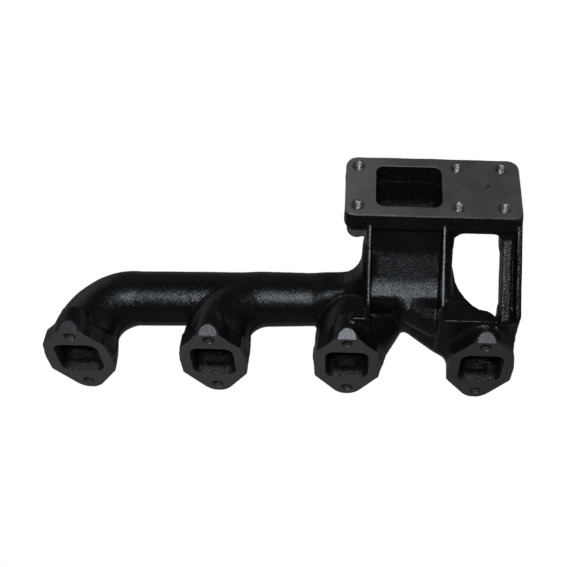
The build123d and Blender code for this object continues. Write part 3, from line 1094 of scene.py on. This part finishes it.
def cast_black(n):
    """Satin black skin of a sand casting: fine grain and soft lumps, a little greyer where it is worn."""
    grain = n.noise(0.85, roughness=0.6)
    lumps = n.noise(0.20)
    worn = n.spread(n.noise(0.03, detail=3.0), 0.35, 0.7)
    specks = n.spread(n.noise(0.9, detail=1.0, roughness=0.4), 0.62, 0.72)
    skin = n.mix(worn, (0.0028, 0.0030, 0.0034, 1), (0.0045, 0.0048, 0.0053, 1))
    colour = n.mix(specks, skin, (0.013, 0.016, 0.021, 1))
    roughness = n.spread(grain, 0.3, 0.7, to_low=0.23, to_high=0.31)
    coarse = n.bump(lumps, 0.8, strength=0.3)
    normal = n.bump(grain, 0.42, strength=0.8, after=coarse)
    return n.finish(
        Base_Color=colour,
        Roughness=roughness,
        Normal=normal,
        Specular_IOR_Level=SKIN_GLOSS,
        Specular_Tint=(0.84, 0.93, 1.0, 1),
    )


def painted_edge_highlight(n):
    """Front edges of the ribs, painted a brighter grey as a highlight."""
    # painted highlight: patchy light grey along the edges that face up towards the light
    broken_up = n.spread(n.noise(0.5), 0.35, 0.6)
    colour = n.mix(broken_up, (0.006, 0.007, 0.009, 1), (0.066, 0.073, 0.084, 1))
    normal = n.bump(n.noise(0.9), 0.4, strength=0.6)
    return n.finish(Base_Color=colour, Roughness=0.4, Normal=normal)


def cast_bore(n):
    """Raw, rougher skin inside the gas ways."""
    lumps = n.noise(0.32, detail=3.0, roughness=0.6)
    grain = n.noise(0.9)
    colour = n.mix(n.spread(lumps, 0.45, 0.65), (0.003, 0.0035, 0.004, 1), (0.011, 0.013, 0.014, 1))
    coarse = n.bump(lumps, 1.4, strength=0.4)
    normal = n.bump(grain, 0.9, strength=0.9, after=coarse)
    return n.finish(Base_Color=colour, Roughness=0.38, Normal=normal, Specular_IOR_Level=0.3)


def painted_floor_reflection(n):
    """Dull olive-grey painted reflection of the pale floor on the front of a stud boss under the flange."""
    grain = n.noise(0.5, detail=3.0)
    colour = n.mix(n.spread(grain, 0.35, 0.65), (0.060, 0.063, 0.055, 1), (0.115, 0.119, 0.104, 1))
    return n.finish(Base_Color=colour, Roughness=0.7, Normal=n.bump(grain, 0.4, strength=0.6))


def sideways_from(n, port_x):
    """Sideways distance from the middle of a port."""
    return n.maths("ABSOLUTE", n.maths("SUBTRACT", n.axis("X"), port_x * MM), 0.0)


def flat_arch(n):
    """How far out a point lies in the round-topped arch of the nearest sloping flat: 1 is on its edge."""
    half_width, depth = BOSS_FLAT_ARCH
    across = sideways_from(n, PORT_X[0])
    for port_x in PORT_X[1:]:
        across = n.maths("MINIMUM", across, sideways_from(n, port_x))
    across = n.maths("DIVIDE", across, half_width * MM)
    back = n.maths("DIVIDE", n.axis("Y"), depth * MM)
    return n.maths("ADD", n.maths("MULTIPLY", across, across), n.maths("MULTIPLY", back, back))


def bare_flat(n):
    """Light, grainy iron of the sloping flats above the upper bolt holes.

    It is lightest at port 3, a painted highlight, and black past the edge of the cutter.
    """
    grain = n.noise(0.7, detail=3.0, roughness=0.7)
    # painted highlight: the flats are lightest at port 3 and darker with distance along the row
    painted_light = n.spread(sideways_from(n, PORT_X[2]), 0.0, 0.24, to_low=1.0, to_high=0.12)
    light = n.mix(painted_light, (0.012, 0.013, 0.016, 1), (0.18, 0.19, 0.22, 1))
    dark = n.mix(painted_light, (0.007, 0.008, 0.009, 1), (0.045, 0.049, 0.060, 1))
    colour = n.mix(n.spread(grain, 0.38, 0.6), dark, light)
    past_cutter = n.spread(flat_arch(n), 0.96, 1.04)
    colour = n.mix(past_cutter, colour, (0.0035, 0.0038, 0.0042, 1))
    metallic = n.spread(past_cutter, 0.0, 1.0, to_low=0.3, to_high=0.0)
    roughness = n.spread(past_cutter, 0.0, 1.0, to_low=0.5, to_high=0.75)
    normal = n.bump(grain, 0.3, strength=0.6)
    return n.finish(
        Base_Color=colour,
        Roughness=roughness,
        Normal=normal,
        Metallic=metallic,
        Specular_IOR_Level=SKIN_GLOSS,
    )


def machined_iron(n):
    """Milled iron: dull greenish grey with fine tool marks and darker stains.

    It is lighter at the left end of the turbocharger face, and painted shade makes it darker on the four port
    faces.
    """
    marks = n.noise(0.9, stretch=(0.06, 1.0, 1.0))
    stain = n.spread(n.noise(0.05, detail=4.0), 0.3, 0.7)
    clean = n.mix(stain, (0.062, 0.067, 0.064, 1), (0.094, 0.100, 0.094, 1))
    pores = n.spread(n.noise(0.9), 0.66, 0.72)
    nick = n.add(
        "ShaderNodeMapping",
        {"vector_type": "TEXTURE"},
        Vector=n.place,
        Location=NICK_PLACE,
        Rotation=NICK_TURN,
        Scale=NICK_HALF_SIZE,
    )
    from_nick = n.add("ShaderNodeVectorMath", {"operation": "LENGTH"}, Vector=nick.outputs["Vector"])
    ragged = n.maths("ADD", from_nick.outputs["Value"], n.noise(0.6))
    pores = n.maths("MAXIMUM", pores, n.spread(ragged, 1.0, 1.5, to_low=1.0, to_high=0.0))
    towards_left = n.spread(n.axis("X"), 0.055, 0.12, to_low=0.55, to_high=0.0)
    clean = n.mix(towards_left, clean, (0.175, 0.18, 0.172, 1))
    # painted shade: the machined faces low down, the port faces, are darker than the turbocharger face
    painted_port_shade = n.spread(n.axis("Z"), 0.06, 0.10, to_low=0.35, to_high=0.0)
    clean = n.mix(painted_port_shade, clean, (0.010, 0.011, 0.011, 1))
    colour = n.mix(pores, clean, (0.012, 0.013, 0.014, 1))
    roughness = n.spread(marks, 0.3, 0.7, to_low=0.42, to_high=0.56)
    normal = n.bump(marks, 0.10, strength=0.5)
    return n.finish(Base_Color=colour, Roughness=roughness, Normal=normal, Metallic=0.35)


def drilled_iron(n):
    """Walls of the drilled and tapped holes: dark with hard glints."""
    chatter = n.noise(0.7)
    normal = n.bump(chatter, 0.7, strength=0.9)
    return n.finish(Base_Color=(0.15, 0.152, 0.155, 1), Roughness=0.36, Normal=normal, Metallic=0.85)


FINISH_MAKERS = (cast_black, machined_iron, bare_flat, drilled_iron, cast_bore, painted_edge_highlight, painted_floor_reflection)
FINISHES = [maker.__name__ for maker in FINISH_MAKERS]


# ---- studio

WORLD_LIGHT = 0.025
FLOOR_LIGHT = 0.15
SEEN_WHITE = 1.0
FLOOR_SIZE = 12.0
FLOOR_GAP = 0.001
LIGHT_AIM = Vector((0.0, 0.06, 0.03))
# name, azimuth and elevation in degrees, distance and size in metres, power in watts
LIGHTS = (
    ("key", 0.0, 64.0, 1.5, 0.28, 17.0),
    ("left_fill", -75.0, 18.0, 1.5, 0.9, 0.8),
    ("right_fill", 75.0, 18.0, 1.5, 0.9, 0.3),
    ("rear_left_fill", -132.0, 15.0, 1.5, 0.9, 1.6),
    ("rear_right_fill", 132.0, 15.0, 1.5, 0.9, 1.6),
    ("rear_fill", 180.0, 25.0, 1.5, 0.9, 0.4),
)
CAMERA_LENS = 58.36
CAMERA_SENSOR = 36.0
CAMERA_SHIFT = (-0.128, -0.0009)
CAMERA_CLIP = (0.01, 50.0)
CAMERA_PLACE = (0.0659, -0.4157, 0.7178)
CAMERA_TURN = ((0.9996, -0.0270, -0.0007), (0.0212, 0.8161, -0.5775), (0.0159, 0.5773, 0.8164))


def glow(tree, strength, felt):
    """Makes an emission look white to the camera and stay dim as a light."""
    path = tree.nodes.new("ShaderNodeLightPath")
    level = tree.nodes.new("ShaderNodeMapRange")
    level.inputs["To Min"].default_value = felt
    level.inputs["To Max"].default_value = SEEN_WHITE
    tree.links.new(path.outputs["Is Camera Ray"], level.inputs["Value"])
    tree.links.new(level.outputs["Result"], strength)


def pale_floor():
    """Emission only, so that the floor shows no shadow."""
    material = bpy.data.materials.new("pale_floor")
    material.use_nodes = True
    tree = material.node_tree
    tree.nodes.clear()
    emission = tree.nodes.new("ShaderNodeEmission")
    output = tree.nodes.new("ShaderNodeOutputMaterial")
    tree.links.new(emission.outputs["Emission"], output.inputs["Surface"])
    glow(tree, emission.inputs["Strength"], FLOOR_LIGHT)
    return material


def make_world():
    world = bpy.data.worlds.new("studio")
    bpy.context.scene.world = world
    world.use_nodes = True
    background = world.node_tree.nodes["Background"]
    background.inputs["Color"].default_value = (1, 1, 1, 1)
    glow(world.node_tree, background.inputs["Strength"], WORLD_LIGHT)


def make_floor(level_z):
    bpy.ops.mesh.primitive_plane_add(size=FLOOR_SIZE, location=(0, 0, level_z))
    floor = bpy.context.object
    floor.name = "floor"
    floor.data.materials.append(pale_floor())


def soft_light(name, azimuth, elevation, distance, size, power):
    """Square soft light; azimuth 0 stands on the -Y side, and angles are in degrees."""
    a, e = math.radians(azimuth), math.radians(elevation)
    back = Vector((math.sin(a) * math.cos(e), -math.cos(a) * math.cos(e), math.sin(e)))
    data = bpy.data.lights.new(name, "AREA")
    data.size = size
    data.energy = power
    light = add_object(name, data)
    light.location = LIGHT_AIM + back * distance
    light.rotation_mode = "QUATERNION"
    light.rotation_quaternion = back.to_track_quat("Z", "Y")


def make_camera():
    data = bpy.data.cameras.new("camera")
    data.lens = CAMERA_LENS
    data.sensor_width = CAMERA_SENSOR
    data.shift_x, data.shift_y = CAMERA_SHIFT
    data.clip_start, data.clip_end = CAMERA_CLIP
    camera = add_object("camera", data)
    camera.matrix_world = Matrix.Translation(CAMERA_PLACE) @ Matrix(CAMERA_TURN).to_4x4()
    bpy.context.scene.camera = camera


# ---- scene

def node_boxes(names):
    """Box of each CAD node in millimetres."""
    boxes = {}
    for name in names:
        low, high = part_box(name)
        boxes[name] = (np.array(low) / MM, np.array(high) / MM)
    return boxes


def main():
    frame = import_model()
    cad_low, cad_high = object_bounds()
    materials = {name: maker(Nodes(name)) for name, maker in zip(FINISHES, FINISH_MAKERS)}
    casting = Casting(node_boxes(frame["nodes"]))
    for node, (vertices, quads, normals, finish) in build_casting(casting).items():
        piece = make_piece(f"{node}_looks", vertices, quads, normals, finish, materials)
        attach(piece, "root")
        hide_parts(node)
    for stud, (centre_x, centre_y, _) in STUDS.items():
        sleeve = thread_sleeve(f"thread_{stud}", centre_x, centre_y, materials["drilled_iron"])
        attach(sleeve, "root")
    make_floor(cad_low.z - FLOOR_GAP)
    make_world()
    for light in LIGHTS:
        soft_light(*light)
    make_camera()
    bpy.context.scene.view_settings.view_transform = "Standard"


main()
